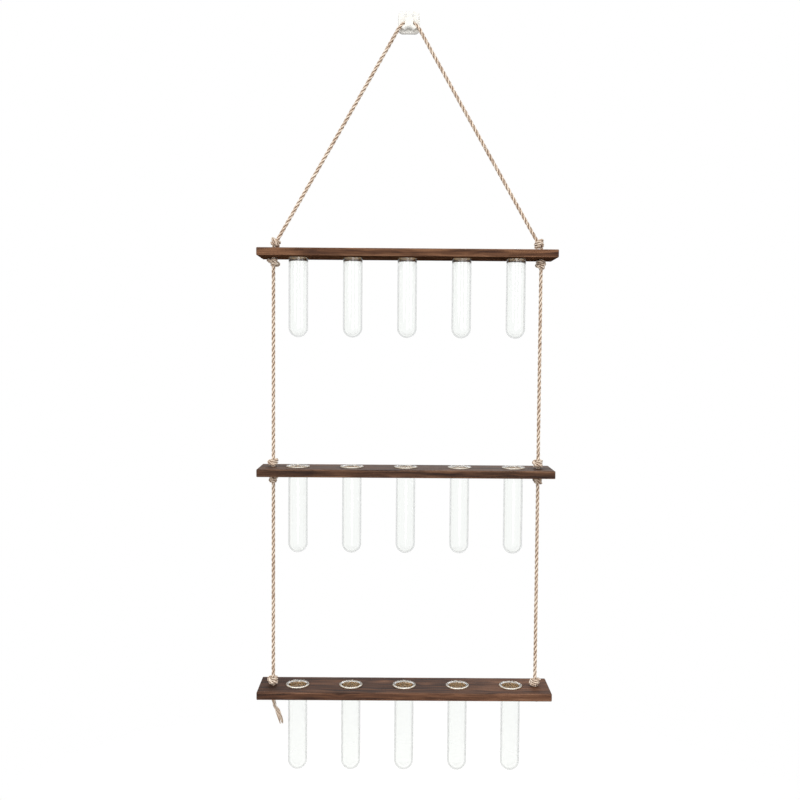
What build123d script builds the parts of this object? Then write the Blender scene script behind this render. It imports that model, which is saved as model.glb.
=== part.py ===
from build123d import *
from math import asin, atan2, ceil, cos, degrees, hypot, pi, sin, tan
import os

# A hanging propagation station: three wooden shelves, one under the other, on one rope
# that goes over a small wall hook. Each shelf holds five round bottomed glass tubes.
# Millimetres, +Z up. The wall is the plane Y = 0, and the viewer stands on the -Y side.
# The origin is the middle of the nail circle, on the back face of the hook.

overrun = 5  # how far a cutting shape passes the face that it cuts
running_gap = 0.3  # between pieces that move past each other, and round the knotted rope

# Shelves
shelf_length = 380
shelf_depth = 60
shelf_thickness = 10
shelf_edge_round = 0.8
shelf_to_wall = 1
upper_spacing = 280  # top face of the top shelf to top face of the middle one
lower_spacing = 288

# Glass tubes
tubes_per_shelf = 5
tube_from_end = 50  # from a shelf's end to the middle of the tube next to it
tube_radius = 12.5
tube_wall = 1.2
tube_drop = 112  # from the seat of the rim to the round bottom
tube_hole_gap = 0.5
rim_overhang = 2.6  # how far the rim stands out past the tube
rim_thickness = 1.6
mouth_flare = 0.9  # how far the mouth opens past the outside of the tube
mouth_flare_depth = 0.8

# Rope
rope_radius = 2.5
rope_hole_from_end = 18
sling_rise = 295.1  # from the top shelf up to the rope's centreline on the hook

# Knots: turns of the rope, drawn tight, round its own standing part
knot_rope_radius = 2.2
knot_core_radius = 3.1
knot_turn_gap = 0.5
knot_quarter_turns = 7
knot_neck = 3.5  # how far a knot that leans stands off its shelf
short_end = 11  # the cut end that shows beside the last knot on the right

# Hook
hook_plate_width = 28
hook_plate_thickness = 4
hook_plate_above = 8.5  # from the nail circle's middle up to the plate's top
hook_plate_below = 20.5
hook_corner_radius = 6
hook_edge_round = 2.5
saddle_rope_radius = 14  # centreline of the rope where it bends over the saddle
saddle_flat = 0.5  # short level stretch at the very top of the rope
saddle_thickness = 5
saddle_half_angle = 58
saddle_drop = 7.9  # from the nail circle's middle down to the rope's centreline
saddle_reach = 8.5  # from the wall to the rope's centreline
saddle_under_round = 4  # from the saddle's front round to its underside
tongue_gap = 0.8  # from the front of the rope to the tongue that holds it in
tongue_thickness = 2.2
tongue_width = 10.5
tongue_rise = 6  # from the rope's centreline up to the tongue's tip
tongue_corner_radius = 3.5

# Nails
nail_count = 3
nail_circle_radius = 5.5
nail_first_angle = -90  # one nail below, two above it
nail_radius = 0.6
nail_neck_radius = 0.7  # the thicker part under the head, as long as the plate is thick
nail_hole_gap = 0.1
nail_head_radius = 2
nail_head_thickness = 0.8
nail_depth = 12
nail_point = 2
nail_point_share = 0.8  # how much of the radius the point takes off

# Loose end under the bottom shelf, on the left: steps along its route
tail_route = [
    (0, 0, 0),
    (0, 0, -8.4),
    (4, -0.6, -15.8),
    (8.3, -1.3, -22.8),
    (10.9, -1.8, -30.6),
]
tail_bend_share = 0.45  # of the shorter run beside a bend, taken up by the bend

own_turn_share = 0.6  # of a turn: points nearer than this along the rope are neighbours
tiny = 1e-6  # directions that differ by less are alike

# Places that follow from the sizes
shelf_y = -(shelf_to_wall + shelf_depth / 2)
tube_pitch = (shelf_length - 2 * tube_from_end) / (tubes_per_shelf - 1)
rope_x = shelf_length / 2 - rope_hole_from_end
top_z = -saddle_drop - sling_rise
middle_z = top_z - upper_spacing
bottom_z = middle_z - lower_spacing
shelf_heights = {"top": top_z, "middle": middle_z, "bottom": bottom_z}
sides = {"left": -1, "right": 1}

coil_radius = rope_radius + running_gap + knot_rope_radius
coil_pitch = 2 * knot_rope_radius + knot_turn_gap
coil_climb = coil_pitch / (2 * pi * coil_radius)
coil_start = knot_rope_radius * (1 + 2 * coil_climb)  # leaves room for the end that runs down
coil_height = coil_pitch * knot_quarter_turns / 4
knot_pivot = coil_start + coil_height  # from a knot's foot to where the rope bends
core_height = knot_pivot - rope_radius - running_gap
rope_insert = knot_pivot - rope_radius  # from a knot's foot to a rope's flat end in it

os.makedirs("parts", exist_ok=True)


def keep(piece, node):
    """Labels a finished piece and writes it."""
    piece.part.label = node
    export_step(piece.part, f"parts/{node}.step")


def biarc(start, start_way, end, end_way):
    """Two arcs that leave start and reach end along the two given directions."""
    reach = end - start
    ways = start_way + end_way
    gain = ways.dot(ways) - 4
    along = reach.dot(ways)
    if abs(gain) < tiny:
        handle = reach.dot(reach) / (2 * along)
    else:
        handle = (along - (along**2 - reach.dot(reach) * gain) ** 0.5) / gain
    first = start + start_way * handle
    last = end - end_way * handle
    middle = (first + last) * 0.5
    middle_way = (last - first).normalized()
    TangentArc(start, middle, tangent=start_way)
    TangentArc(middle, end, tangent=middle_way)


def coil_point(foot, quarter):
    """A quarter point of a knot's turns, round the foot plane's Z axis."""
    angle = quarter * pi / 2
    height = coil_start + coil_pitch * quarter / 4
    return foot.from_local_coords(Vector(coil_radius * cos(angle), coil_radius * sin(angle), height))


def coil_way(foot, quarter):
    """The direction of the rope there."""
    angle = quarter * pi / 2
    way = Vector(-sin(angle), cos(angle), coil_climb)
    return (foot.from_local_coords(way) - foot.origin).normalized()


def knot(node, foot, hole_z, end_run):
    """A knot: turns on a core that goes down to the middle of the shelf's hole."""
    with BuildPart() as piece:
        with BuildLine() as turns:
            start = coil_point(foot, 0)
            Line(start - coil_way(foot, 0) * 2 * knot_rope_radius, start)
            for quarter in range(knot_quarter_turns):
                biarc(
                    coil_point(foot, quarter),
                    coil_way(foot, quarter),
                    coil_point(foot, quarter + 1),
                    coil_way(foot, quarter + 1),
                )
            end = coil_point(foot, knot_quarter_turns)
            Line(end, end + coil_way(foot, knot_quarter_turns) * end_run)
        path = turns.wires()[0]
        with BuildSketch(Plane(origin=path @ 0, z_dir=path % 0)):
            Circle(knot_rope_radius)
        sweep(path=path)
        with BuildSketch(foot):
            Circle(knot_core_radius)
        extrude(amount=core_height)
        with BuildSketch(Plane((foot.origin.X, foot.origin.Y, hole_z))):
            Circle(rope_radius)
        extrude(amount=foot.origin.Z - hole_z)
        if hypot(foot.z_dir.X, foot.z_dir.Y) > tiny:
            with Locations(foot.origin):
                Sphere(knot_core_radius)
    keep(piece, node)
    return path


def self_gap(path):
    """The least clear space between one turn of a tube and another."""
    count = ceil(path.length)
    step = path.length / count
    points = [path @ (n / count) for n in range(count + 1)]
    apart = ceil(2 * pi * coil_radius * own_turn_share / step)
    least = min(
        (points[a] - points[b]).length
        for a in range(count + 1)
        for b in range(a + apart, count + 1)
    )
    return least - 2 * knot_rope_radius


# Wall hook: a plate with an arched saddle, and a tongue in front of the rope
saddle_y = -saddle_reach
apex_z = -saddle_drop
saddle_centre_z = apex_z - saddle_rope_radius
saddle_radius = saddle_rope_radius - rope_radius - running_gap
saddle_inner_radius = saddle_radius - saddle_thickness
tongue_back = saddle_reach + rope_radius + tongue_gap
tongue_length = apex_z + tongue_rise - saddle_centre_z  # from the saddle's centre to the tip
tongue_root_radius = (saddle_radius + saddle_inner_radius) / 2
hook_plate_height = hook_plate_above + hook_plate_below
saddle_centre = (0, saddle_centre_z)
saddle_start = 90 - saddle_half_angle

with BuildPart() as wall_hook:
    with BuildSketch(Plane.XZ):
        with Locations((0, hook_plate_above - hook_plate_height / 2)):
            RectangleRounded(hook_plate_width, hook_plate_height, hook_corner_radius)
    extrude(amount=hook_plate_thickness)
    fillet(wall_hook.faces().sort_by(Axis.Y)[0].edges(), radius=hook_edge_round)
    with BuildSketch(Plane.XZ):
        with BuildLine():
            upper = CenterArc(saddle_centre, saddle_radius, saddle_start, 2 * saddle_half_angle)
            lower = CenterArc(saddle_centre, saddle_inner_radius, saddle_start, 2 * saddle_half_angle)
            Line(upper @ 0, lower @ 0)
            Line(upper @ 1, lower @ 1)
        make_face()
    extrude(amount=tongue_back + tongue_thickness)
    with BuildSketch(Plane.XZ.offset(tongue_back)) as tongue:
        with Locations((0, saddle_centre_z + tongue_length / 2)):
            Rectangle(tongue_width, tongue_length)
        fillet(tongue.vertices().group_by(Axis.Y)[-1], radius=tongue_corner_radius)
        with Locations(saddle_centre):
            Circle(tongue_root_radius, mode=Mode.SUBTRACT)
    extrude(amount=tongue_thickness)
    front_arcs = wall_hook.faces().sort_by(Axis.Y)[0].edges().filter_by(GeomType.CIRCLE)
    fillet(front_arcs.sort_by(Axis.Z)[0], radius=saddle_under_round)
    with BuildSketch(Plane.XZ.offset(-overrun)):
        with PolarLocations(nail_circle_radius, nail_count, start_angle=nail_first_angle):
            Circle(nail_neck_radius + nail_hole_gap)
    extrude(amount=hook_plate_thickness + 2 * overrun, mode=Mode.SUBTRACT)
keep(wall_hook, "wall_hook")

# Nails: three alike, their heads on the front of the plate
with BuildPart() as hook_nails:
    with BuildSketch(Plane.XZ.offset(hook_plate_thickness)):
        with PolarLocations(nail_circle_radius, nail_count, start_angle=nail_first_angle):
            Circle(nail_head_radius)
    extrude(amount=nail_head_thickness)
    fillet(hook_nails.faces().sort_by(Axis.Y)[:nail_count].edges(), radius=nail_head_thickness / 2)
    with BuildSketch(Plane.XZ):
        with PolarLocations(nail_circle_radius, nail_count, start_angle=nail_first_angle):
            Circle(nail_neck_radius)
    extrude(amount=hook_plate_thickness)
    with BuildSketch(Plane.XZ):
        with PolarLocations(nail_circle_radius, nail_count, start_angle=nail_first_angle):
            Circle(nail_radius)
    extrude(amount=-nail_depth)
    chamfer(
        hook_nails.faces().sort_by(Axis.Y)[-nail_count:].edges(),
        length=nail_point,
        length2=nail_radius * nail_point_share,
    )
keep(hook_nails, "hook_nails")

# Sling: one rope from the left knot, over the saddle, to the right knot. Its legs lie in
# a plane that leans out from the wall, as deep as the shelves stand off it.
foot_z = top_z + knot_neck
sling_fall = hypot(apex_z - foot_z, shelf_y - saddle_y)
leg_angle = atan2(sling_fall - saddle_rope_radius, rope_x - saddle_flat / 2)
leg_angle += asin(
    saddle_rope_radius / hypot(sling_fall - saddle_rope_radius, rope_x - saddle_flat / 2)
)
corner_x = saddle_flat / 2 + saddle_rope_radius * tan(leg_angle / 2)
sling_feet = {}
sling_ends = {}
for side, sign in sides.items():
    foot = Vector(sign * rope_x, shelf_y, foot_z)
    corner = Vector(sign * corner_x, saddle_y, apex_z)
    sling_feet[side] = Plane(origin=foot, x_dir=(0, -1, 0), z_dir=corner - foot)
    sling_ends[side] = foot + sling_feet[side].z_dir * rope_insert

with BuildPart() as sling_rope:
    with BuildLine() as sling_line:
        FilletPolyline(
            sling_ends["left"],
            (-corner_x, saddle_y, apex_z),
            (corner_x, saddle_y, apex_z),
            sling_ends["right"],
            radius=saddle_rope_radius,
        )
    sling_path = sling_line.wires()[0]
    with BuildSketch(Plane(origin=sling_path @ 0, z_dir=sling_path % 0)):
        Circle(rope_radius)
    sweep(path=sling_path)
keep(sling_rope, "sling_rope")
sling_volume = sling_path.length * pi * rope_radius**2
print(f"sling: {sling_path.length:.1f} mm, leg at {degrees(leg_angle):.1f} degrees,")
print(f"  radius {saddle_rope_radius}, volume {sling_rope.part.volume:.0f} of {sling_volume:.0f}")

# Shelves: flat boards with five tube holes and a rope hole near each end
for level, height in shelf_heights.items():
    with BuildPart() as shelf:
        with BuildSketch(Plane((0, shelf_y, height))):
            Rectangle(shelf_length, shelf_depth)
        extrude(amount=-shelf_thickness)
        fillet(shelf.edges(), radius=shelf_edge_round)
        with BuildSketch(Plane((0, shelf_y, height + overrun))):
            with GridLocations(tube_pitch, 0, tubes_per_shelf, 1):
                Circle(tube_radius + tube_hole_gap)
            with GridLocations(2 * rope_x, 0, 2, 1):
                Circle(rope_radius + running_gap)
        extrude(amount=-(shelf_thickness + 2 * overrun), mode=Mode.SUBTRACT)
    keep(shelf, f"{level}_shelf")

# Knots: one above and one below each rope hole. Those on top of the top shelf lean into
# the sling's legs, the others stand upright.
for level, height in shelf_heights.items():
    for side, sign in sides.items():
        hole_z = height - shelf_thickness / 2
        above = Vector(sign * rope_x, shelf_y, height + running_gap)
        below = Vector(sign * rope_x, shelf_y, height - shelf_thickness - running_gap)
        upper_foot = Plane(origin=above, x_dir=(0, -1, 0), z_dir=(0, 0, 1))
        lower_foot = Plane(origin=below, x_dir=(-1, 0, 0), z_dir=(0, 0, -1))
        if level == "top":
            upper_foot = sling_feet[side]
        last = level == "bottom" and side == "right"
        knot(f"{level}_upper_knot_{side}", upper_foot, hole_z, 2 * knot_rope_radius)
        end_run = short_end if last else 2 * knot_rope_radius
        path = knot(f"{level}_lower_knot_{side}", lower_foot, hole_z, end_run)
print(f"knot: least gap between its turns {self_gap(path):.2f} mm, turn radius {coil_radius:.1f}")

# Ropes between the shelves: round ends that turn inside the knots they hang in
pivot_above = running_gap + knot_pivot
pivot_below = -shelf_thickness - running_gap - knot_pivot
stretches = {"middle": (top_z, middle_z), "bottom": (middle_z, bottom_z)}
for level, (upper, lower) in stretches.items():
    top = upper + pivot_below
    foot = lower + pivot_above
    for side, sign in sides.items():
        with BuildPart() as stretch:
            with BuildSketch(Plane((sign * rope_x, shelf_y, foot))):
                Circle(rope_radius)
            extrude(amount=top - foot)
            with Locations((sign * rope_x, shelf_y, foot), (sign * rope_x, shelf_y, top)):
                Sphere(rope_radius)
        keep(stretch, f"{level}_rope_{side}")
    print(f"{level} ropes hang from {top:.2f} to {foot:.2f}, {top - foot:.2f} mm")

# Loose end: what is left of the rope under the last knot on the left
tail_exit = Vector(-rope_x, shelf_y, bottom_z - shelf_thickness - running_gap - rope_insert)
tail_points = [tail_exit + Vector(step) for step in tail_route]
tail_runs = [after - before for before, after in zip(tail_points, tail_points[1:])]
tail_radii = []
for before, after in zip(tail_runs, tail_runs[1:]):
    half_turn = before.get_angle(after) / 2 * pi / 180
    tail_radii.append(tail_bend_share * min(before.length, after.length) / tan(half_turn))
with BuildPart() as loose_end:
    with BuildLine() as tail_line:
        FilletPolyline(*tail_points, radius=tail_radii)
    tail_path = tail_line.wires()[0]
    with BuildSketch(Plane(origin=tail_path @ 0, z_dir=tail_path % 0)):
        Circle(rope_radius)
    sweep(path=tail_path)
keep(loose_end, "loose_end")
print(f"loose end: {tail_path.length:.1f} mm, radii {[round(r) for r in tail_radii]}")

# Glass tubes: round bottom, straight wall, flared rim that sits on the shelf
for level, height in shelf_heights.items():
    for number in range(tubes_per_shelf):
        seat_x = (number - (tubes_per_shelf - 1) / 2) * tube_pitch
        inner_radius = tube_radius - tube_wall
        bend_z = tube_radius - tube_drop
        rim_round = rim_thickness / 2
        rim_edge = tube_radius + rim_overhang - rim_round
        with BuildPart() as tube:
            with BuildSketch(Plane((seat_x, shelf_y, height), x_dir=(1, 0, 0), z_dir=(0, -1, 0))):
                with BuildLine():
                    CenterArc((0, bend_z), tube_radius, 270, 90)
                    Line((tube_radius, bend_z), (tube_radius, 0))
                    Line((tube_radius, 0), (rim_edge, 0))
                    CenterArc((rim_edge, rim_round), rim_round, -90, 180)
                    Line((rim_edge, rim_thickness), (tube_radius + mouth_flare, rim_thickness))
                    TangentArc(
                        (inner_radius, -mouth_flare_depth),
                        (tube_radius + mouth_flare, rim_thickness),
                        tangent=(0, 1),
                    )
                    Line((inner_radius, -mouth_flare_depth), (inner_radius, bend_z))
                    CenterArc((0, bend_z), inner_radius, 270, 90)
                    Line((0, -tube_drop), (0, tube_wall - tube_drop))
                make_face()
            revolve(axis=Axis((seat_x, shelf_y, height), (0, 0, 1)))
        keep(tube, f"{level}_tube_{number + 1}")
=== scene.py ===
import math
import bpy
import numpy as np
from mathutils import Matrix, Vector


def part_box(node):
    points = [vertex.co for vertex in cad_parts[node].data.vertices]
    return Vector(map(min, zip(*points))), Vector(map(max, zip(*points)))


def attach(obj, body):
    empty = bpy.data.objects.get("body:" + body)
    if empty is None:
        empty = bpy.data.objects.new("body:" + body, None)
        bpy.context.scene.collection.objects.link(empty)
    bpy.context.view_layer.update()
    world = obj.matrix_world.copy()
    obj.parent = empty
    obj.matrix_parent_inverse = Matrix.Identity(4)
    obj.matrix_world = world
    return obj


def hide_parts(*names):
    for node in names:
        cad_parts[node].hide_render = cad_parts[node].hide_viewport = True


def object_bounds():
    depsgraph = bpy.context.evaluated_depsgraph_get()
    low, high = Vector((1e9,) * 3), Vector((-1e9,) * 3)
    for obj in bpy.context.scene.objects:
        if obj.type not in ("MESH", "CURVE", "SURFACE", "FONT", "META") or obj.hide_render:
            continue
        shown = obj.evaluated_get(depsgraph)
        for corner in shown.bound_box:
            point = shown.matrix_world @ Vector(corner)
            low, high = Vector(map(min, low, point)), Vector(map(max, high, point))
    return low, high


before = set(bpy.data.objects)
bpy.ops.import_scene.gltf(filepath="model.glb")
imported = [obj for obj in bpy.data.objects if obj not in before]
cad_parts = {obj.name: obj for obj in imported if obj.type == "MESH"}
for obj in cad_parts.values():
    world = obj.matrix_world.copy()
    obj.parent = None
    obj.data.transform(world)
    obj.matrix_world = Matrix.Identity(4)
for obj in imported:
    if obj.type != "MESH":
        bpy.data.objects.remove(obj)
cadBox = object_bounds()
mm = 0.001
levels = ("top", "middle", "bottom")
sides = ("left", "right")


# Camera, as the photograph was taken: a little left of the middle, between the top two shelves

cameraView = {
    "leftOfMiddle": 0.0133,
    "fromShelves": 1.231,  # distance to the middle plane of the shelves
    "belowTopShelf": 0.1275,
    "lookDown": 3.01,  # degrees
    "turnLeft": -0.24,
    "tilt": -0.42,
    "focal": 951.7 / 800,  # as a share of the picture's width
    "sensorWidth": 36,
    "farthest": 50,
}


def addCamera(c):
    shelfLow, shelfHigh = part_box("top_shelf")
    data = bpy.data.cameras.new("photoCamera")
    data.sensor_width = c["sensorWidth"]
    data.lens = c["sensorWidth"] * c["focal"]
    data.clip_end = c["farthest"]
    turn, down, tilt = (math.radians(c[key]) for key in ("turnLeft", "lookDown", "tilt"))
    right = Vector((math.cos(turn), math.sin(turn), 0))
    ahead = Vector((-math.sin(turn), math.cos(turn), 0))
    up = Vector((0, 0, 1))
    forward = ahead * math.cos(down) - up * math.sin(down)
    up = ahead * math.sin(down) + up * math.cos(down)
    right, up = (
        right * math.cos(tilt) - up * math.sin(tilt),
        right * math.sin(tilt) + up * math.cos(tilt),
    )
    place = Matrix((right, up, -forward)).transposed().to_4x4()
    place.translation = (
        -c["leftOfMiddle"],
        (shelfLow.y + shelfHigh.y) / 2 - c["fromShelves"],
        shelfHigh.z - c["belowTopShelf"],
    )
    camera = bpy.data.objects.new("photoCamera", data)
    camera.matrix_world = place
    bpy.context.scene.collection.objects.link(camera)
    bpy.context.scene.camera = camera


addCamera(cameraView)


# Colours and nodes

def linear(hexColour):
    # sRGB to linear: c / 12.92 below 0.04045, else ((c + 0.055) / 1.055) ^ 2.4
    parts = [int(hexColour[i:i + 2], 16) / 255 for i in (1, 3, 5)]
    return (*[c / 12.92 if c <= 0.04045 else ((c + 0.055) / 1.055) ** 2.4 for c in parts], 1.0)


def addNode(tree, kind, inputs=None, **settings):
    # one node: settings go on the node, inputs are numbers, colours or sockets to link
    node = tree.nodes.new(kind)
    for key, value in settings.items():
        setattr(node, key, value)
    for key, value in (inputs or {}).items():
        if isinstance(value, bpy.types.NodeSocket):
            tree.links.new(value, node.inputs[key])
        else:
            node.inputs[key].default_value = value
    return node


def newMaterial(name):
    material = bpy.data.materials.new(name)
    material.use_nodes = True
    material.node_tree.nodes.clear()
    return material, material.node_tree


def finishMaterial(tree, shader, volume=None):
    output = addNode(tree, "ShaderNodeOutputMaterial", {"Surface": shader})
    if volume:
        tree.links.new(volume, output.inputs["Volume"])


def addMath(tree, operation, *values):
    return addNode(tree, "ShaderNodeMath", dict(enumerate(values)), operation=operation).outputs[0]


def mapRange(tree, value, low, high, toLow=0.0, toHigh=1.0):
    return addNode(tree, "ShaderNodeMapRange", {
        "Value": value, "From Min": low, "From Max": high, "To Min": toLow, "To Max": toHigh,
    }).outputs[0]


def unevenRoughness(tree, noise, low, high):
    # most of a noise lies between 0.3 and 0.7
    return mapRange(tree, noise, 0.3, 0.7, low, high)


def mixValues(tree, share, first, second):
    mix = addNode(tree, "ShaderNodeMix", {"Factor": share, "A": first, "B": second})
    return mix.outputs[0]


def mixColours(tree, share, first, second):
    return addNode(tree, "ShaderNodeMix", {
        "Factor": share, "A": first, "B": second,
    }, data_type="RGBA").outputs[2]


def mixShaders(tree, share, first, second):
    return addNode(tree, "ShaderNodeMixShader", {0: share, 1: first, 2: second}).outputs[0]


def objectNoise(tree, size, detail):
    # noise in the piece's own coordinates, with patches about as wide as size, in mm
    place = addNode(tree, "ShaderNodeTexCoord")
    return addNode(tree, "ShaderNodeTexNoise", {
        "Vector": place.outputs["Object"], "Scale": 1 / (size * mm), "Detail": detail,
    }).outputs[0]


def addBump(tree, height, strength, depth):
    return addNode(tree, "ShaderNodeBump", {
        "Height": height, "Strength": strength, "Distance": depth * mm,
    }).outputs[0]


def rampColour(tree, value, stops):
    node = addNode(tree, "ShaderNodeValToRGB", {"Fac": value})
    ramp = node.color_ramp
    while len(ramp.elements) < len(stops):
        ramp.elements.new(0.5)
    for element, (place, hexColour) in zip(ramp.elements, stops):
        element.position = place
        element.color = linear(hexColour)
    return node.outputs[0]


# Shapes as grids of points

def unit(v):
    return v / np.linalg.norm(v, axis=-1, keepdims=True)


def squareTo(line, reference):
    # two directions square to the line and to each other, the first as near the reference as it can
    tangent = unit(np.gradient(line, axis=0))
    n = unit(reference - (reference * tangent).sum(-1, keepdims=True) * tangent)
    return n, np.cross(tangent, n)


def evenLine(points, step):
    # points one step apart: distance gone is the sum of the chords, and each axis follows it
    points = np.asarray(points, float)
    gone = np.r_[0, np.cumsum(np.linalg.norm(np.diff(points, axis=0), axis=1))]
    at = np.linspace(0, gone[-1], max(int(round(gone[-1] / step)), 2) + 1)
    return np.stack([np.interp(at, gone, points[:, i]) for i in range(3)], 1), at


def tubeGrid(centres, towards, radius, around):
    # ring point = centre + radius * (cos a * n + sin a * t x n), with n square to the line
    n, b = squareTo(centres, towards)
    a = np.arange(around) * 2 * math.pi / around
    ring = np.cos(a)[None, :, None] * n[:, None] + np.sin(a)[None, :, None] * b[:, None]
    return centres[:, None] + np.broadcast_to(radius, len(centres))[:, None, None] * ring


def gridFaces(rows, around, first):
    # quads between neighbouring rings, and one flat face over each end
    i, j = np.meshgrid(np.arange(rows - 1), np.arange(around), indexing="ij")
    k = (j + 1) % around
    this, following = i * around, (i + 1) * around
    quads = np.stack([this + j, this + k, following + k, following + j], -1)
    faces = (quads.reshape(-1, 4) + first).tolist()
    faces.append((first + np.arange(around)[::-1]).tolist())
    faces.append((first + (rows - 1) * around + np.arange(around)).tolist())
    return faces


def meshObject(name, points, faces, material):
    mesh = bpy.data.meshes.new(name)
    mesh.from_pydata(np.asarray(points).tolist(), [], faces)
    mesh.polygons.foreach_set("use_smooth", [True] * len(mesh.polygons))
    mesh.update()
    piece = bpy.data.objects.new(name, mesh)
    bpy.context.scene.collection.objects.link(piece)
    mesh.materials.append(material)
    return piece


def pointValues(piece, name, kind, key, values):
    # an attribute with one number or vector for each point of the mesh
    layer = piece.data.attributes.new(name, kind, "POINT")
    layer.data.foreach_set(key, values.astype(np.float32))


def tubesObject(name, material, tubes, fibres=None, crowns=None):
    # tubes is a list of grids (rows, around, 3), fibres the same shape in millimetres, and crowns
    # one number for each point
    points, faces, first = [], [], 0
    for grid in tubes:
        points.append(grid.reshape(-1, 3))
        faces += gridFaces(grid.shape[0], grid.shape[1], first)
        first += grid.shape[0] * grid.shape[1]
    piece = meshObject(name, np.concatenate(points), faces, material)
    if fibres:
        fibre = np.concatenate([f.reshape(-1) for f in fibres])
        crown = np.concatenate([c.reshape(-1) for c in crowns])
        pointValues(piece, "fibre", "FLOAT_VECTOR", "vector", fibre)
        pointValues(piece, "crown", "FLOAT", "value", crown)
    return piece


def finalMesh(piece):
    # the mesh that a curve or a modifier makes
    bpy.context.view_layer.update()
    graph = bpy.context.evaluated_depsgraph_get()
    return bpy.data.meshes.new_from_object(piece.evaluated_get(graph))


def splineLine(route):
    # the smooth line of a NURBS spline that has the route's points as control points
    curve = bpy.data.curves.new("route", "CURVE")
    curve.dimensions = "3D"
    curve.resolution_u = 24
    spline = curve.splines.new("NURBS")
    spline.points.add(len(route) - 1)
    for point, place in zip(spline.points, route):
        point.co = (*place, 1)
    spline.order_u = 3
    spline.use_endpoint_u = True
    holder = bpy.data.objects.new("route", curve)
    bpy.context.scene.collection.objects.link(holder)
    mesh = finalMesh(holder)
    line = np.array([v.co for v in mesh.vertices], float)
    bpy.data.objects.remove(holder)
    bpy.data.meshes.remove(mesh)
    return line


def boxMiddle(node):
    low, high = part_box(node)
    return (low + high) / 2


# Rope: jute, three strands laid up right-handed. Dry fibres give a dull, hairy, beige surface

juteRope = {
    "diameter": 5.0,
    "strands": 3,
    "lay": 21.6,  # mm along the rope for a full turn of a strand
    "rowsPerLay": 12,
    "strandShare": 0.475,  # a strand's radius as a share of the rope's
    "strandAround": 12,
    "fibreTwist": 1.2,  # turns of a strand's fibres for each of its own turns, the other way round
    "fibreWidth": 0.3,  # mm; real jute fibre is a tenth of that, too fine to show
    "fibreLength": 7.0,
    "strandShift": 0.1,  # metres along the pattern from one strand to the next
    "patchSize": 9.0,
    "patchShare": 0.3,  # how much of the colour changes slowly along the rope, not by the fibre
    "colours": [(0.34, "#8a6d56"), (0.5, "#dfcab5"), (0.66, "#faf3e4")],
    "grooveShade": "#7d6049",  # painted shade between the strands, standing in for the fibres shading one another
    "grooveShadeSpan": (0.68, 0.93),  # of the way out from the rope's middle, where that painted shade goes
    "bump": 0.7,
    "bumpDepth": 0.25,
    "roughness": 0.9,
    "gloss": 0.2,
    "sheen": 0.25,
    "sheenRoughness": 0.5,
}
ropeRadius = juteRope["diameter"] * mm / 2


def juteMaterial(r):
    material, tree = newMaterial("twistedJute")
    fibre = addNode(tree, "ShaderNodeAttribute", attribute_name="fibre")
    stretch = addNode(tree, "ShaderNodeMapping", {
        "Vector": fibre.outputs["Vector"],
        "Scale": (1 / r["fibreWidth"], 1 / r["fibreWidth"], 1 / r["fibreLength"]),
    })
    streaks = addNode(tree, "ShaderNodeTexNoise", {
        "Vector": stretch.outputs[0], "Scale": 1.0, "Detail": 3.0, "Roughness": 0.6,
    }).outputs[0]
    both = mixValues(tree, r["patchShare"], streaks, objectNoise(tree, r["patchSize"], 2.0))
    colour = rampColour(tree, both, r["colours"])
    # the crown attribute is 1 on a strand's outermost line and falls towards the grooves, where
    # painted shade darkens the colour
    crown = addNode(tree, "ShaderNodeAttribute", attribute_name="crown")
    crowned = mapRange(tree, crown.outputs["Fac"], *r["grooveShadeSpan"])
    shader = addNode(tree, "ShaderNodeBsdfPrincipled", {
        "Base Color": mixColours(tree, crowned, linear(r["grooveShade"]), colour),
        "Roughness": r["roughness"],
        "Specular IOR Level": r["gloss"],
        "Sheen Weight": r["sheen"],
        "Sheen Roughness": r["sheenRoughness"],
        "Normal": addBump(tree, streaks, r["bump"], r["bumpDepth"]),
    })
    finishMaterial(tree, shader.outputs[0])
    return material


def ropeStrands(line, reference, r, radius):
    # strand centre = line + (radius - strand), turned once round the line in each lay
    line, gone = evenLine(line, r["lay"] * mm / r["rowsPerLay"])
    n, b = squareTo(line, np.asarray(reference, float))
    strand = radius * r["strandShare"]
    grids, fibres, crowns = [], [], []
    lay = r["lay"] * mm * radius / ropeRadius
    around = np.arange(r["strandAround"]) * 2 * math.pi / r["strandAround"]
    # distance of a strand's surface from the rope's middle line, as a share of the rope's radius
    crown = np.abs((radius - strand) + strand * np.exp(1j * around)) / radius
    for number in range(r["strands"]):
        turn = 2 * math.pi * (gone / lay + number / r["strands"])[:, None]
        out = np.cos(turn) * n + np.sin(turn) * b
        grids.append(tubeGrid(line + out * (radius - strand), out, strand, r["strandAround"]))
        twisted = around[None] - r["fibreTwist"] * turn
        across = [np.cos(twisted) * strand, np.sin(twisted) * strand]
        along = np.broadcast_to(gone[:, None] + number * r["strandShift"], twisted.shape)
        fibres.append(np.stack([*across, along], -1) / mm)
        crowns.append(np.broadcast_to(crown, twisted.shape))
    return grids, fibres, crowns


def ropePiece(name, line, body, *nodes):
    piece = tubesObject(name, jute, *ropeStrands(line, (0, 1, 0), juteRope, ropeRadius))
    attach(piece, body)
    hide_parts(*nodes)


jute = juteMaterial(juteRope)

# The sling goes from the left knot over the hook's saddle to the right knot

slingRoute = [
    (-0.16763, -0.03040, -0.29170),
    (-0.02310, -0.01051, -0.03401),
    (-0.00890, -0.00850, -0.00730),
    (0.00890, -0.00850, -0.00730),
    (0.02310, -0.01051, -0.03401),
    (0.16763, -0.03040, -0.29170),
]
ropePiece("slingRope", splineLine(slingRoute), "top_tier", "sling_rope")

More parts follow.
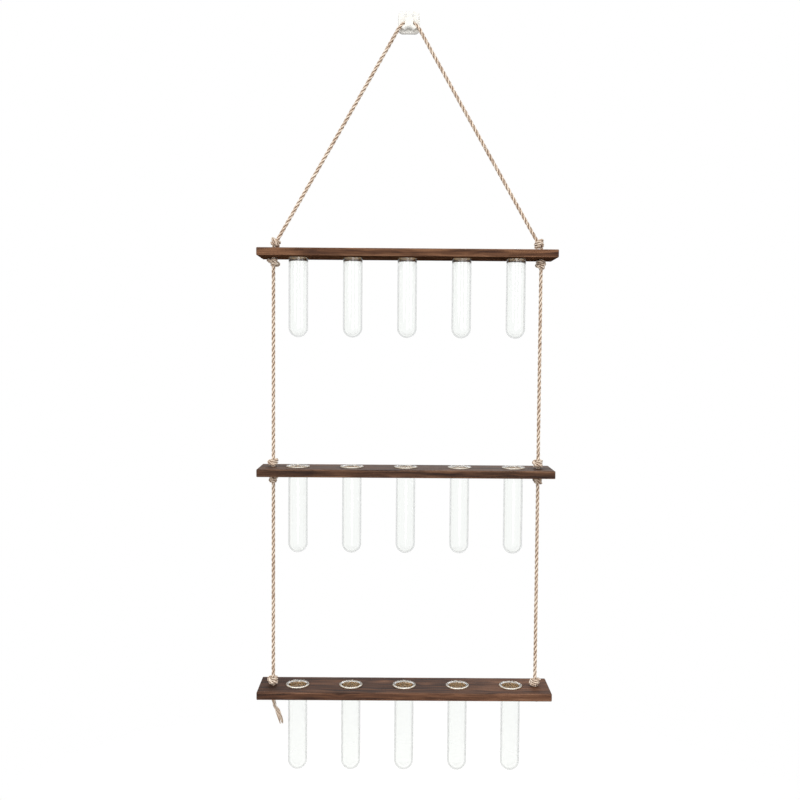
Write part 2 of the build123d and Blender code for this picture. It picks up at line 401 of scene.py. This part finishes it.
ropeX = boxMiddle("middle_rope_right").x
shelfY = boxMiddle("top_shelf").y
for level in ("middle", "bottom"):
    for side in sides:
        node = f"{level}_rope_{side}"
        low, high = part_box(node)
        middle = (low + high) / 2
        line = [(middle.x, middle.y, low.z), (middle.x, middle.y, high.z)]
        ropePiece(f"{level}Rope{side.title()}", line, node, node)
print("ropes made")

# Knots: the rope is drawn nearly twice round itself, and once more back over its own turns.
# An upper knot is a round lump, a lower one is wide at the shelf and narrow at the rope

knotShape = {
    "radius": 2.25,  # of the rope, drawn thin in the knot
    "turns": [0.0, 0.2, 0.95, 1.85, 2.1, 2.45, 2.7, 2.85],
    "Upper": [2.0, 4.1, 4.3, 4.4, 5.6, 5.9, 5.0, 2.5],  # distance from the knot's axis
    "Lower": [2.0, 4.8, 4.1, 3.3, 4.4, 5.2, 5.4, 2.5],
    "height": [2.3, 2.6, 5.4, 9.0, 8.8, 5.8, 3.2, 2.6],
    "points": 400,
    "smooth": 25,  # points in the running mean
    "slant": {"topLowerLeft": 0.55, "topLowerRight": -0.15},  # mm to the right for each mm away
    "stretch": {"topLowerLeft": 1.05, "topLowerRight": 1.2, "bottomLowerLeft": 0.72},
    "width": {
        "topLowerLeft": 1.1, "topLowerRight": 1.1, "middleLowerLeft": 0.85, "middleLowerRight": 0.9,
    },
    "foot": 0.3,  # mm between the knot's foot and the shelf
    "slingFoot": 4.3,  # the same above the top shelf, where the rope leaves at a slant
    "inside": 8,  # mm of straight rope inside the knot
    "squeeze": (0.92, 1.04),  # each knot is pulled tight to its own height
    "seed": 8,
}


def knotLine(k, name, half, spin, squeeze):
    # angle, distance and height follow the lists above, then a running mean rounds them off
    key = np.linspace(0, 1, len(k["turns"]))
    t = np.linspace(0, 1, k["points"])
    wide = np.hanning(k["smooth"]) / np.hanning(k["smooth"]).sum()
    rows = []
    for values in (k["turns"], k[half], k["height"]):
        row = np.interp(t, key, values)
        rows.append(np.convolve(np.pad(row, k["smooth"] // 2, mode="edge"), wide, mode="valid"))
    angle = rows[0] * 2 * math.pi + spin
    out = rows[1] * k["width"].get(name, 1.0)
    height = rows[2] * squeeze * k["stretch"].get(name, 1.0)
    slide = (height - height.mean()) * k["slant"].get(name, 0.0)
    return np.stack([out * np.cos(angle), out * np.sin(angle), height], 1) * mm, slide * mm


def knotPiece(k, level, half, side, foot, axis, holeZ, spin, squeeze):
    name = f"{level}{half}{side.title()}"
    axis = Vector(axis).normalized()
    turned = np.array(Vector((0, 0, 1)).rotation_difference(axis).to_matrix())
    line, slide = knotLine(k, name, half, spin, squeeze)
    line = line @ turned.T + np.array(foot)
    line[:, 0] += slide
    lists = ropeStrands(line, axis, juteRope, k["radius"] * mm)
    inside = [tuple(foot), tuple(Vector(foot) + axis * k["inside"] * mm)]
    through = [(foot[0], foot[1], holeZ), tuple(foot)]
    for straight in (inside, through):
        for kept, more in zip(lists, ropeStrands(straight, (0, 1, 0), juteRope, ropeRadius)):
            kept += more
    piece = tubesObject(f"{level}{half}Knot{side.title()}", jute, *lists)
    node = f"{level}_{half.lower()}_knot_{side}"
    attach(piece, f"{level}_tier")
    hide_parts(node)


def tieKnots(k):
    slingAxis = {
        "left": Vector(slingRoute[2]) - Vector(slingRoute[0]),
        "right": Vector(slingRoute[3]) - Vector(slingRoute[5]),
    }
    rng = np.random.default_rng(k["seed"])
    for level in levels:
        low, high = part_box(f"{level}_shelf")
        holeZ = (low.z + high.z) / 2
        for side, sign in zip(sides, (-1, 1)):
            spin, squeeze = rng.uniform(0, 2 * math.pi, 2), rng.uniform(*k["squeeze"], 2)
            foot, axis = (sign * ropeX, shelfY, high.z + k["foot"] * mm), (0, 0, 1)
            if level == "top":
                foot, axis = (sign * ropeX, shelfY, high.z + k["slingFoot"] * mm), slingAxis[side]
            knotPiece(k, level, "Upper", side, foot, axis, holeZ, spin[0], squeeze[0])
            foot = (sign * ropeX, shelfY, low.z - k["foot"] * mm)
            knotPiece(k, level, "Lower", side, foot, (0, 0, -1), holeZ, spin[1], squeeze[1])


tieKnots(knotShape)
print("knots made")

# The loose end under the bottom shelf: three strands that come apart into yarns

looseEnd = {
    "route": [(0, 0, 0), (0, 0, -8.4), (4, -0.6, -15.8), (8.3, -1.3, -22.8), (10.9, -1.8, -30.6)],
    "exit": (-0.172, -0.031, -0.890261),
    "length": 0.0331,
    "step": 0.6,  # mm between rows
    "whole": 0.04,  # share of the length that is still laid up
    "unlaid": 0.5,  # share of the lay that is lost at the tip
    "spread": 4.0,  # mm from the middle line at the tip
    "opening": 0.55,  # power of the looseness: below 1, the yarns part early
    "depth": 0.6,  # spread to and from the wall, as a share of the spread along it
    "reach": (0.4, 1.0),  # of the spread, for each yarn
    "lean": 1.0,  # mm that the bundle bulges to the right in the middle of its length
    "tipLean": 1.0,  # and at its tip
    "past": 1.6,  # mm that the longest tips run on past the middle line
    "yarns": 60,
    "longYarns": 14,
    "cutShort": (0.72, 1.0),  # of the length, for the other yarns
    "yarnRadius": 0.36,
    "yarnAround": 6,
    "inStrand": 0.85,  # of the strand's radius, within which its yarns lie
    "hollow": 0.05,  # of that section, left free in its middle
    "wavePitch": (0.25, 0.6),  # radians per mm
    "waveHeight": 0.3,
    "tipRows": 8,  # over which a yarn thins out
    "tipShare": 0.25,
    "patternAcross": 0.1,  # radius of a yarn in the fibre pattern, mm
    "patternAlong": 0.3,  # length in the pattern for each mm of yarn
    "patternShift": 3.1,  # each yarn has its own place in it, so that light and dark ones mix
    "shade": (0.74, 1.0),  # each yarn's crown value, which sets at random how much of the painted groove shade it takes
    "seed": 21,
}


def frayedEnd(e, r):
    exitPoint = np.array(e["exit"])
    middleLine = splineLine([tuple(exitPoint + np.array(p) * mm) for p in e["route"]])
    tip = middleLine[-1] + unit(middleLine[-1] - middleLine[-2]) * e["past"] * mm
    centre, gone = evenLine(np.vstack([middleLine, tip]), e["step"] * mm)
    share = gone / gone[-1]
    loose = np.clip((share - e["whole"]) / (1 - e["whole"]), 0, 1)
    n, b = squareTo(centre, np.array((0.0, 1.0, 0.0)))
    turn = 2 * math.pi * (gone / (r["lay"] * mm) * (1 - e["unlaid"] * loose))
    lean = np.sin(math.pi * share) * e["lean"] + share * e["tipLean"]
    bulge = (lean * mm)[:, None] * np.array((1.0, 0.0, 0.0))
    grids, fibres, crowns = [], [], []
    rng = np.random.default_rng(e["seed"])
    around = np.arange(e["yarnAround"]) * 2 * math.pi / e["yarnAround"]
    for yarn in range(e["yarns"]):
        strand = yarn % r["strands"]
        # place in the strand, which itself turns round the rope; both open out with looseness
        filling = math.sqrt(rng.uniform(e["hollow"], 1))
        inner = ropeRadius * r["strandShare"] * e["inStrand"] * filling
        angle = rng.uniform(0, 2 * math.pi)
        base = turn + strand * 2 * math.pi / r["strands"]
        out = np.cos(base)[:, None] * n + np.sin(base)[:, None] * b
        within = base * -r["fibreTwist"] + angle
        side = np.cos(within)[:, None] * n + np.sin(within)[:, None] * b
        offset = out * ropeRadius * (1 - r["strandShare"]) + side * inner
        drift = rng.uniform(0, 2 * math.pi)
        away = math.cos(drift) * e["depth"] * n + math.sin(drift) * b
        wave = np.sin(gone / mm * rng.uniform(*e["wavePitch"]) + rng.uniform(0, 6))
        wave = wave[:, None] * b * e["waveHeight"] * mm
        reach = rng.uniform(*e["reach"]) * (e["spread"] * mm - ropeRadius)
        opened = (loose ** e["opening"])[:, None]
        points = centre + offset + bulge + (away * reach + wave) * opened
        last = len(points)
        if yarn >= e["longYarns"]:
            last = int(len(points) * rng.uniform(*e["cutShort"]))
        thick = np.full(last, e["yarnRadius"] * mm)
        thick[-e["tipRows"]:] *= np.linspace(1, e["tipShare"], e["tipRows"])
        grids.append(tubeGrid(points[:last], unit(offset[:last]), thick, e["yarnAround"]))
        along = np.broadcast_to(gone[:last, None], (last, e["yarnAround"])) / mm
        ring = np.broadcast_to(around[None], along.shape)
        fibres.append(np.stack([
            np.cos(ring) * e["patternAcross"] + yarn * e["patternShift"],
            np.sin(ring) * e["patternAcross"],
            along * e["patternAlong"],
        ], -1))
        crowns.append(np.full(along.shape, rng.uniform(*e["shade"])))
    piece = tubesObject("looseEnd", jute, grids, fibres, crowns)
    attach(piece, "bottom_tier")
    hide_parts("loose_end")


frayedEnd(looseEnd, juteRope)
print("loose end made")


# Shelves: sawn pine with a dark walnut stain. Saw marks and grain show, edges are rubbed lighter

shelfBoard = {
    "edgeRound": 1.1,
    "step": 2.5,
    "roundSteps": 4,
    "wander": 0.35,  # how far the worn edges wander inwards, mm
    "wanderLengths": (140, 61, 23, 11),
    "wornStrip": 3,  # along each long edge
    "tubeHole": 13.0,
    "ropeHole": 2.9,
    "holeAround": 72,
    "drillPast": 0.01,  # metres past both faces
    "sharpAngle": 35,
    "slowGrain": (0.012, 0.05, 0.05),  # per mm
    "ringWidth": 7.0,  # growth rings on the face, mm
    "ringFlat": 1.4,  # they lie this much closer through the thickness
    "ringAlong": 0.004,  # per mm
    "ringBend": 3.2,  # how far the slow grain pushes them, in rings
    "grainWidth": 0.7,
    "grainAlong": 0.03,  # of the pace across the board
    "grainShare": 0.45,  # the growth rings give the rest of the colour
    "colourStops": (0.35, 0.46, 0.57, 0.69),
    "rubbedSpan": (32.3, 34.6),  # mm from the middle, depth and height together
    "brokenSpan": (0.42, 0.6),  # of the grain's noise, which breaks up the rubbing
    "underside": (-4.8, -4.2),  # mm from the board's middle, where the gloss begins
    "gloss": 0.12,
    "sawPitch": 2.6,
    "wavesPerUnit": 3.2,  # of a wave texture with a scale of 1
    "sawShare": 0.3,
    "bump": 0.6,
    "bumpDepth": 0.5,
    "roughness": (0.6, 0.8),
    "holeColours": [(0.35, "#b98f62"), (0.65, "#dcb98c")],
    "holeBump": 0.5,
    "holeBumpDepth": 0.3,
    "holeRoughness": 0.85,
}


def boardGrid(b, low, high, seed):
    # section: a rectangle with round corners; along the board it shrinks into the round ends
    size = np.array(high - low) / 2
    middle = np.array((low + high) / 2)
    bend = b["edgeRound"] * mm
    inset = size - bend
    angle = (np.arange(b["roundSteps"]) + 0.5) / b["roundSteps"] * math.pi / 2
    corner = np.stack([np.cos(angle), np.sin(angle)], 1) * bend + inset[1:]
    flatY = np.linspace(-1, 1, round(2 * size[1] / (b["step"] * mm)) + 1)[1:-1] * inset[1]
    flatZ = np.array([-0.5, 0.0, 0.5]) * inset[2]
    section = [
        corner,
        np.c_[flatY[::-1], np.full(len(flatY), size[2])],
        corner[::-1] * (-1, 1),
        np.c_[np.full(len(flatZ), -size[1]), flatZ[::-1]],
        corner * (-1, -1),
        np.c_[flatY, np.full(len(flatY), -size[2])],
        corner[::-1] * (1, -1),
        np.c_[np.full(len(flatZ), size[1]), flatZ],
    ]
    y, z = np.concatenate(section).T
    rise = (1 - np.cos(np.linspace(0, math.pi / 2, b["roundSteps"] + 1))) * bend
    flatX = np.linspace(-1, 1, round(2 * size[0] / (b["step"] * mm)) + 1) * inset[0]
    x = np.concatenate([-size[0] + rise[:-1], flatX, size[0] - rise[:-1][::-1]])
    past = np.clip(np.abs(x) - inset[0], 0, None)
    shrink = bend - np.sqrt(np.clip(bend ** 2 - past ** 2, 0, None))
    # worn edges: sums of sines along the board, different at each of the four edges
    rng = np.random.default_rng(seed)
    waves = sum(
        np.sin(x[:, None] / mm * 2 * math.pi / w + rng.uniform(0, 6, (1, 4)))
        for w in b["wanderLengths"]
    ) / len(b["wanderLengths"])
    waves = np.clip(waves, -1, 1) * 0.5 + 0.5
    strip = b["wornStrip"] * mm
    nearY = np.clip((np.abs(y) - (size[1] - strip)) / strip, 0, 1)
    edge = (y < 0) * 2 + (z < 0) * 1
    worn = waves[:, edge] * nearY * b["wander"] * mm
    factorY = 1 - (shrink[:, None] + worn) / size[1]
    factorZ = 1 - shrink[:, None] / size[2]
    grid = np.stack([
        np.broadcast_to(x[:, None], factorY.shape), y * factorY, z * factorZ,
    ], -1)
    return grid[:, ::-1] + middle


def drillHoles(piece, places, low, high, around, wall):
    # each hole is a cylinder taken out of the board, and its wall keeps the cylinder's material
    points, faces = [], []
    angle = np.arange(around) * 2 * math.pi / around
    for x, y, radius in places:
        ring = np.stack([x + radius * np.cos(angle), y + radius * np.sin(angle)], 1)
        faces += gridFaces(2, around, len(points) * 2 * around)
        points.append(np.concatenate([
            np.c_[ring, np.full(around, low)], np.c_[ring, np.full(around, high)],
        ]))
    cutter = meshObject("cutter", np.concatenate(points), faces, wall)
    drill = piece.modifiers.new("drill", "BOOLEAN")
    drill.object = cutter
    drill.solver = "EXACT"
    drill.material_mode = "TRANSFER"
    cut = finalMesh(piece)
    piece.modifiers.clear()
    piece.data = cut
    bpy.data.objects.remove(cutter)


def stainedWood(name, b, middle, tones):
    material, tree = newMaterial(name)
    place = addNode(tree, "ShaderNodeTexCoord")
    local = addNode(tree, "ShaderNodeVectorMath", {
        0: place.outputs["Object"], 1: tuple(middle),
    }, operation="SUBTRACT")
    inMm = addNode(tree, "ShaderNodeVectorMath", {
        0: local.outputs[0], 3: 1 / mm,
    }, operation="SCALE").outputs[0]
    shift = addNode(tree, "ShaderNodeVectorMath", {
        0: inMm, 1: tones["shift"],
    }, operation="ADD").outputs[0]
    slow = addNode(tree, "ShaderNodeMapping", {"Vector": shift, "Scale": b["slowGrain"]})
    bend = addNode(tree, "ShaderNodeTexNoise", {
        "Vector": slow.outputs[0], "Scale": 1.0, "Detail": 2.0,
    })
    grain = addNode(tree, "ShaderNodeMapping", {
        "Vector": shift,
        "Scale": (b["grainAlong"] / b["grainWidth"], 1 / b["grainWidth"], 1 / b["grainWidth"]),
    })
    fine = addNode(tree, "ShaderNodeTexNoise", {
        "Vector": grain.outputs[0], "Scale": 0.5, "Detail": 4.0, "Roughness": 0.65,
    }).outputs[0]
    rings = addNode(tree, "ShaderNodeMapping", {
        "Vector": shift,
        "Scale": (b["ringAlong"], 1 / b["ringWidth"], b["ringFlat"] / b["ringWidth"]),
    })
    bent = addNode(tree, "ShaderNodeVectorMath", {
        0: bend.outputs["Color"], 3: b["ringBend"],
    }, operation="SCALE")
    ringPlace = addNode(tree, "ShaderNodeVectorMath", {
        0: rings.outputs[0], 1: bent.outputs[0],
    }, operation="ADD")
    ring = addNode(tree, "ShaderNodeTexNoise", {
        "Vector": ringPlace.outputs[0], "Scale": 1.0, "Detail": 1.0,
    }).outputs[0]
    mix = mixValues(tree, b["grainShare"], ring, fine)
    # a board may be paler towards one end
    parts = addNode(tree, "ShaderNodeSeparateXYZ", {0: inMm})
    paler = addMath(tree, "MULTIPLY_ADD", parts.outputs[0], tones["palerRight"], mix)
    colour = rampColour(tree, paler, list(zip(b["colourStops"], tones["colours"])))
    # rubbed edges: near an edge line, |y| and |z| together are close to the board's half sizes
    depth = addMath(tree, "ABSOLUTE", parts.outputs[1])
    height = addMath(tree, "ABSOLUTE", parts.outputs[2])
    rubbed = mapRange(tree, addMath(tree, "ADD", depth, height), *b["rubbedSpan"])
    broken = mapRange(tree, fine, *b["brokenSpan"], toHigh=tones["rub"])
    rub = addMath(tree, "MULTIPLY", rubbed, broken)
    # saw marks: fine ridges across the board, broken up by the grain
    saw = addNode(tree, "ShaderNodeTexWave", {
        "Vector": shift, "Scale": 1 / b["sawPitch"] / b["wavesPerUnit"], "Distortion": 3.0,
        "Detail": 2.0, "Detail Scale": 0.4,
    }, bands_direction="X")
    ridges = mixValues(tree, b["sawShare"], fine, saw.outputs["Fac"])
    # the underside was left rough sawn and has no shine
    shine = mapRange(tree, parts.outputs[2], *b["underside"], toHigh=b["gloss"])
    shader = addNode(tree, "ShaderNodeBsdfPrincipled", {
        "Base Color": mixColours(tree, rub, colour, linear(tones["bare"])),
        "Roughness": unevenRoughness(tree, fine, *b["roughness"]),
        "Specular IOR Level": shine,
        "Normal": addBump(tree, ridges, b["bump"], b["bumpDepth"]),
    })
    finishMaterial(tree, shader.outputs[0])
    return material


def barePine(b):
    # the holes were drilled after staining: pale end grain, rougher than the faces
    material, tree = newMaterial("barePine")
    fibres = objectNoise(tree, b["grainWidth"], 3.0)
    shader = addNode(tree, "ShaderNodeBsdfPrincipled", {
        "Base Color": rampColour(tree, fibres, b["holeColours"]),
        "Roughness": b["holeRoughness"],
        "Normal": addBump(tree, fibres, b["holeBump"], b["holeBumpDepth"]),
    })
    finishMaterial(tree, shader.outputs[0])
    return material


shelfTones = {
    "top": {
        "shift": (0.0, 3.0, 11.0),
        "colours": ("#301e18", "#4e3323", "#684732", "#856046"),
        "bare": "#9c755a",
        "rub": 0.55,
        "palerRight": -0.00015,
    },
    "middle": {
        "shift": (310.0, 41.0, 87.0),
        "colours": ("#251814", "#3e2a1e", "#563c2c", "#735540"),
        "bare": "#8f6c54",
        "rub": 0.6,
        "palerRight": 0.0,
    },
    "bottom": {
        "shift": (720.0, -52.0, 160.0),
        "colours": ("#291b15", "#462e22", "#60412f", "#7d5a45"),
        "bare": "#946e57",
        "rub": 0.5,
        "palerRight": 0.00038,
    },
}

pine = barePine(shelfBoard)
tubeX = [boxMiddle(f"top_tube_{number}").x for number in range(1, 6)]
for seed, level in enumerate(levels):
    low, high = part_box(f"{level}_shelf")
    middle = (low + high) / 2
    wood = stainedWood(f"stainedPine{level.title()}", shelfBoard, middle, shelfTones[level])
    board = tubesObject(f"{level}Board", wood, [boardGrid(shelfBoard, low, high, seed)])
    holes = [(x, shelfY, shelfBoard["tubeHole"] * mm) for x in tubeX]
    holes += [(sign * ropeX, shelfY, shelfBoard["ropeHole"] * mm) for sign in (-1, 1)]
    past = shelfBoard["drillPast"]
    drillHoles(board, holes, low.z - past, high.z + past, shelfBoard["holeAround"], pine)
    board.data.set_sharp_from_angle(angle=math.radians(shelfBoard["sharpAngle"]))
    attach(board, f"{level}_tier")
    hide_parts(f"{level}_shelf")
print("shelves made")


# Tubes: clear borosilicate test tubes, drawn and flame-rounded. The glass tints grey-green with its
# thickness; its edges are darkened by painted shade and its rim has a painted highlight

glassTube = {
    "radius": 12.5,
    "wall": 1.2,
    "drop": 112.0,
    "above": 0.05,  # mm of air under the rim, so that it and the shelf don't share a surface
    "rimReach": 2.6,
    "rimThick": 1.6,
    "underRim": [(0.0, -0.5), (0.15, -0.15), (0.5, 0.0)],  # mm out and up, from wall to bead
    "mouthFlare": 0.9,
    "flareDepth": 0.8,
    "wallRows": (-60.0, -20.0),  # heights of rows on the straight wall
    "bottomRows": 18,
    "beadRows": 12,
    "flareRows": 10,
    "around": 72,
    "ior": 1.47,
    "clear": "#fdfefd",
    "roughness": 0.01,
    "tint": "#e2e5e2",
    "tintDepth": 30.0,  # absorption per metre of glass
    "edge": "#3f4744",  # painted shade: the glass's colour turns to this where the wall is seen along its length
    "edgeShadeStart": 0.45,  # how far the glass is turned away where that painted shade starts
    # colour of the rim's painted highlight
    "rimHighlight": "#f8ead3",
    "rimRoughness": 0.25,
    "rimHighlightShare": 0.5,  # share of the bead given an opaque cream painted highlight, for the light a flame-rounded rim catches
    "rimWidth": 0.9,  # mm from the bead's outermost line to where that has gone
    "rimFade": 0.6,  # mm over which it goes
}


def glassMaterial(g):
    material, tree = newMaterial("clearGlass")
    # painted shade: the clear glass's colour turns dark grey-green where its surface is seen at a
    # slant
    facing = addNode(tree, "ShaderNodeLayerWeight", {"Blend": 0.5})
    edgeShadeShare = mapRange(tree, facing.outputs["Facing"], g["edgeShadeStart"], 1.0)
    clear = addNode(tree, "ShaderNodeBsdfPrincipled", {
        "Base Color": mixColours(tree, edgeShadeShare, linear(g["clear"]), linear(g["edge"])),
        "Roughness": g["roughness"], "IOR": g["ior"], "Transmission Weight": 1.0,
    })
    # painted highlight: an opaque cream surface mixed into the glass on the bead
    paintedRim = addNode(tree, "ShaderNodeBsdfPrincipled", {
        "Base Color": linear(g["rimHighlight"]), "Roughness": g["rimRoughness"], "IOR": g["ior"],
    })
    rim = addNode(tree, "ShaderNodeAttribute", attribute_name="rim")
    share = addMath(tree, "MULTIPLY", rim.outputs["Fac"], g["rimHighlightShare"])
    shader = mixShaders(tree, share, clear.outputs[0], paintedRim.outputs[0])
    volume = addNode(tree, "ShaderNodeVolumeAbsorption", {
        "Color": linear(g["tint"]), "Density": g["tintDepth"],
    })
    finishMaterial(tree, shader, volume.outputs[0])
    return material


def tubeProfile(g):
    # outside: round bottom, straight wall, bead at the rim; then the flared mouth and the inside
    quarter = np.linspace(0, math.pi / 2, g["bottomRows"])
    outer, inner, bend = g["radius"], g["radius"] - g["wall"], g["radius"] - g["drop"]
    bead = g["rimThick"] / 2
    edge = outer + g["rimReach"] - bead
    mouth = outer + g["mouthFlare"]
    side = np.linspace(-math.pi / 2, math.pi / 2, g["beadRows"])
    rise = g["rimThick"] + g["flareDepth"]
    flare = ((mouth - inner) ** 2 + rise ** 2) / (2 * (mouth - inner))
    sweep = np.linspace(math.asin(rise / flare), 0, g["flareRows"])
    parts = [
        np.stack([outer * np.sin(quarter), bend - outer * np.cos(quarter)], 1),
        np.array([(outer, z) for z in g["wallRows"]]),
        np.array([(outer + out, z) for out, z in g["underRim"]]),
        np.stack([edge + bead * np.cos(side), bead + bead * np.sin(side)], 1),
        np.stack([inner + flare * (1 - np.cos(sweep)), flare * np.sin(sweep) - g["flareDepth"]], 1),
        np.array([(inner, z) for z in g["wallRows"][::-1]]),
        np.stack([inner * np.sin(quarter[::-1]), bend - inner * np.cos(quarter[::-1])], 1),
    ]
    return np.concatenate(parts)


def lathe(name, profile, centre, g, material):
    # point = (r cos a, r sin a, z) for each point of the profile, with one point at each pole
    around = g["around"]
    a = np.arange(around) * 2 * math.pi / around
    rings = profile[1:-1]
    grid = np.stack([
        rings[:, :1] * np.cos(a)[None], rings[:, :1] * np.sin(a)[None],
        np.broadcast_to(rings[:, 1:], (len(rings), around)),
    ], -1).reshape(-1, 3)
    poles = [[0, 0, profile[0, 1]], [0, 0, profile[-1, 1]]]
    points = np.concatenate([grid, poles]) * mm + np.array(centre)
    faces = gridFaces(len(rings), around, 0)[:-2]
    j = np.arange(around)
    k = (j + 1) % around
    start, pole = (len(rings) - 1) * around, len(grid)
    faces += np.stack([k, j, np.full(around, pole)], 1).tolist()
    faces += np.stack([start + j, start + k, np.full(around, pole + 1)], 1).tolist()
    piece = meshObject(name, points, faces, material)
    # the rim attribute is 1 on the bead, and falls to 0 at the mouth and on the tube below; it
    # places the painted highlight
    inwards = rings[:, 0].max() - rings[:, 0]
    rim = np.repeat(np.clip((g["rimWidth"] - inwards) / g["rimFade"], 0, 1), around)
    pointValues(piece, "rim", "FLOAT", "value", np.r_[rim, 0, 0])
    return piece


glass = glassMaterial(glassTube)
profile = tubeProfile(glassTube)
for level in levels:
    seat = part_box(f"{level}_shelf")[1].z + glassTube["above"] * mm
    for number, x in enumerate(tubeX, 1):
        node = f"{level}_tube_{number}"
        tube = lathe(f"{level}Tube{number}", profile, (x, shelfY, seat), glassTube, glass)
        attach(tube, node)
        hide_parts(node)
print("tubes made")


# Hook and nails: white moulded plastic with a half gloss, and plated steel

hookPlastic = {
    "colour": "#e6e4de",
    "texture": 0.8,
    "bump": 0.03,
    "bumpDepth": 0.01,
    "roughness": (0.38, 0.46),
}
nailSteel = {
    "colour": "#dddcd8",
    "marks": 0.4,
    "roughness": (0.22, 0.4),
}


def plasticMaterial(p):
    material, tree = newMaterial("whitePlastic")
    texture = objectNoise(tree, p["texture"], 2.0)
    shader = addNode(tree, "ShaderNodeBsdfPrincipled", {
        "Base Color": linear(p["colour"]),
        "Roughness": unevenRoughness(tree, texture, *p["roughness"]),
        "Normal": addBump(tree, texture, p["bump"], p["bumpDepth"]),
    })
    finishMaterial(tree, shader.outputs[0])
    return material


def steelMaterial(s):
    material, tree = newMaterial("platedSteel")
    marks = objectNoise(tree, s["marks"], 3.0)
    shader = addNode(tree, "ShaderNodeBsdfPrincipled", {
        "Base Color": linear(s["colour"]),
        "Metallic": 1.0,
        "Roughness": unevenRoughness(tree, marks, *s["roughness"]),
    })
    finishMaterial(tree, shader.outputs[0])
    return material


finishes = {"wall_hook": plasticMaterial(hookPlastic), "hook_nails": steelMaterial(nailSteel)}
for node, material in finishes.items():
    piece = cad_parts[node]
    piece.data.materials.clear()
    piece.data.materials.append(material)
print("hook finished")


# Stage: a pale floor below, that fades into a white surround, and soft lamps

stage = {
    "floorBelow": 0.26,  # under the lowest tube
    "floorSize": 3.0,
    "floorColour": "#f2f1ef",
    "floorShade": "#74716e",  # the floor as it lights the object
    "floorGlow": 0.55,  # how much of its look is plain white
    "fadeFrom": 0.35,  # metres from the middle
    "fadeTo": 0.32,  # share of the floor's size
    "lightAbove": 0.84,
    "lightBelow": 0.3,
    "horizon": 0.4,  # half the height in the sky over which one becomes the other
    "lamps": [  # place, size and power
        ((-1.5, -2.2, 0.35), 1.6, 33.0),
        ((0.2, -2.8, -0.7), 1.4, 23.0),
        ((1.7, -1.7, -0.1), 1.4, 12.0),
        ((0.3, 1.8, 0.9), 1.5, 24.0),
    ],
}
white = (1.0, 1.0, 1.0, 1.0)


def whiteToCamera(tree):
    # 1 for rays from the camera, off gloss or through glass, 0 for rays that light the object
    ray = addNode(tree, "ShaderNodeLightPath").outputs
    seen = addMath(tree, "MAXIMUM", ray["Is Camera Ray"], ray["Is Glossy Ray"])
    return addMath(tree, "MAXIMUM", seen, ray["Is Transmission Ray"])


def addFloor(s, z):
    material, tree = newMaterial("paleFloor")
    place = addNode(tree, "ShaderNodeTexCoord")
    away = addNode(tree, "ShaderNodeVectorMath", {
        0: place.outputs["Object"], 1: (1.0, 1.0, 0.0),
    }, operation="MULTIPLY")
    distance = addNode(tree, "ShaderNodeVectorMath", {0: away.outputs[0]}, operation="LENGTH")
    fade = addNode(tree, "ShaderNodeMapRange", {
        "Value": distance.outputs["Value"],
        "From Min": s["fadeFrom"], "From Max": s["floorSize"] * s["fadeTo"],
    }, interpolation_type="SMOOTHSTEP")
    floor = addNode(tree, "ShaderNodeBsdfPrincipled", {
        "Base Color": linear(s["floorColour"]), "Roughness": 0.9,
    })
    shade = addNode(tree, "ShaderNodeBsdfDiffuse", {"Color": linear(s["floorShade"])})
    glow = addNode(tree, "ShaderNodeEmission", {"Color": white, "Strength": 1.0})
    lit = mixShaders(tree, s["floorGlow"], floor.outputs[0], glow.outputs[0])
    seen = mixShaders(tree, whiteToCamera(tree), shade.outputs[0], lit)
    clear = addNode(tree, "ShaderNodeBsdfTransparent")
    finishMaterial(tree, mixShaders(tree, fade.outputs[0], seen, clear.outputs[0]))
    half = s["floorSize"] / 2
    points = [(-half, -half, z), (half, -half, z), (half, half, z), (-half, half, z)]
    meshObject("paleFloor", points, [[0, 1, 2, 3]], material)


def addSurround(s):
    world = bpy.data.worlds.new("whiteSurround")
    world.use_nodes = True
    bpy.context.scene.world = world
    tree = world.node_tree
    tree.nodes.clear()
    # the surround lights the object less from below: its strength follows the height in the sky
    sky = addNode(tree, "ShaderNodeTexCoord")
    height = addNode(tree, "ShaderNodeSeparateXYZ", {0: sky.outputs["Generated"]}).outputs[2]
    strength = mapRange(tree, height, -s["horizon"], s["horizon"], s["lightBelow"], s["lightAbove"])
    fill = addNode(tree, "ShaderNodeBackground", {"Color": white, "Strength": strength})
    plain = addNode(tree, "ShaderNodeBackground", {"Color": white, "Strength": 1.0})
    both = mixShaders(tree, whiteToCamera(tree), fill.outputs[0], plain.outputs[0])
    addNode(tree, "ShaderNodeOutputWorld", {"Surface": both})


def addLamps(s, centre):
    # glass in front of a lamp that is seen through it can't be told from its light, so none is seen
    for number, (spot, size, power) in enumerate(s["lamps"]):
        data = bpy.data.lights.new(f"softLamp{number}", "AREA")
        data.shape = "DISK"
        data.size = size
        data.energy = power
        lamp = bpy.data.objects.new(f"softLamp{number}", data)
        lamp.location = spot
        lamp.visible_camera = lamp.visible_transmission = False
        lamp.rotation_euler = (Vector(centre) - Vector(spot)).to_track_quat("-Z", "Y").to_euler()
        bpy.context.scene.collection.objects.link(lamp)


addFloor(stage, cadBox[0].z - stage["floorBelow"])
addSurround(stage)
addLamps(stage, (0, shelfY, (cadBox[0].z + cadBox[1].z) / 2))
bpy.context.scene.view_settings.view_transform = "Standard"
print("stage set")
